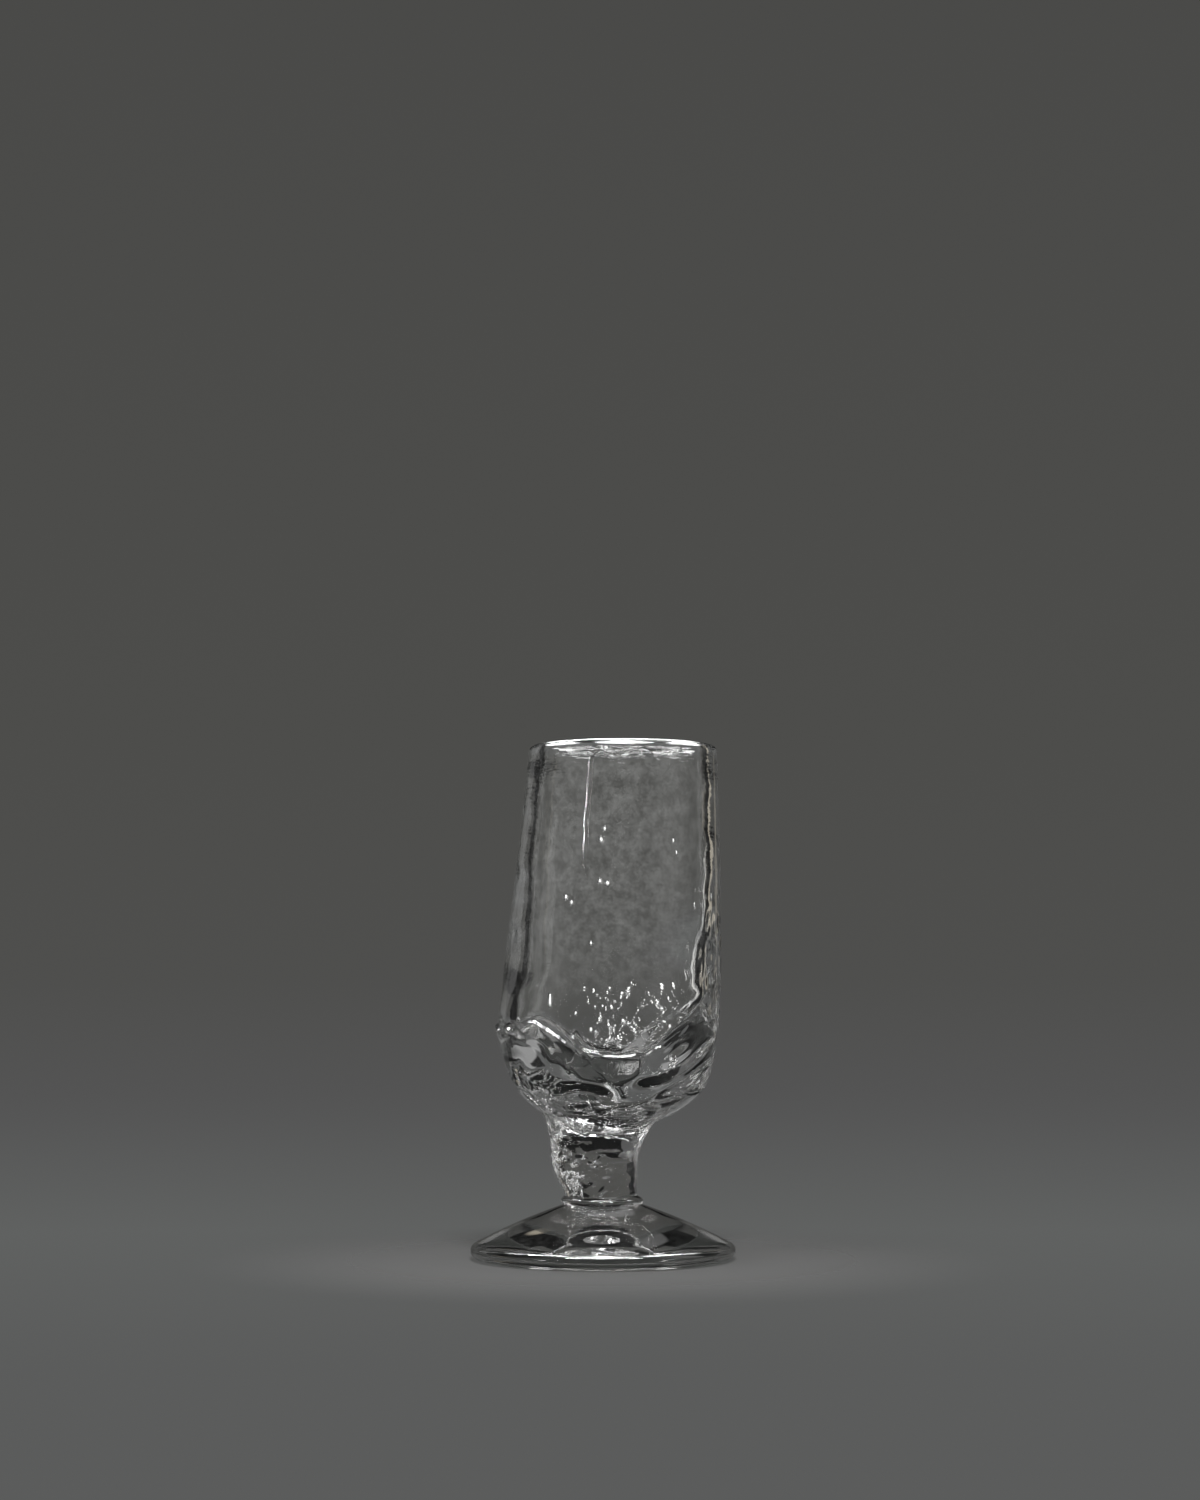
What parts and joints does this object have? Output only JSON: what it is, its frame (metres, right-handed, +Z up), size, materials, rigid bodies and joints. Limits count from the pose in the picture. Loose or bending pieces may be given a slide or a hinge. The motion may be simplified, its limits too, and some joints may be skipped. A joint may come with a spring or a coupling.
{
  "type": "goblet",
  "caption": "Hand-blown clear glass goblet: thick leaning tapered bowl with a lobed dished floor, short flared stem with a collar bead, and a solid conical foot, to drink from.",
  "frame": {"origin": "middle of the foot's underside, at the level of the surface that it stands on", "axes": "+Z up through the foot and the stem; -Y is the pictured side; the bowl leans towards +X"},
  "size_m": [0.08, 0.08, 0.155],
  "materials": {
    "bowl_glass": "clear, fire-polished",
    "gather_glass": "clear, lumpy, with seeds and voids",
    "stem_glass": "clear, crinkled, with seeds",
    "collar_glass": "clear, fire-polished",
    "foot_glass": "clear, fire-polished, solid"
  },
  "bodies": {
    "root": {"bowl": "bowl_glass", "base_gather": "gather_glass", "stem": "stem_glass", "stem_collar": "collar_glass", "foot": "foot_glass"}
  },
  "joints": []
}
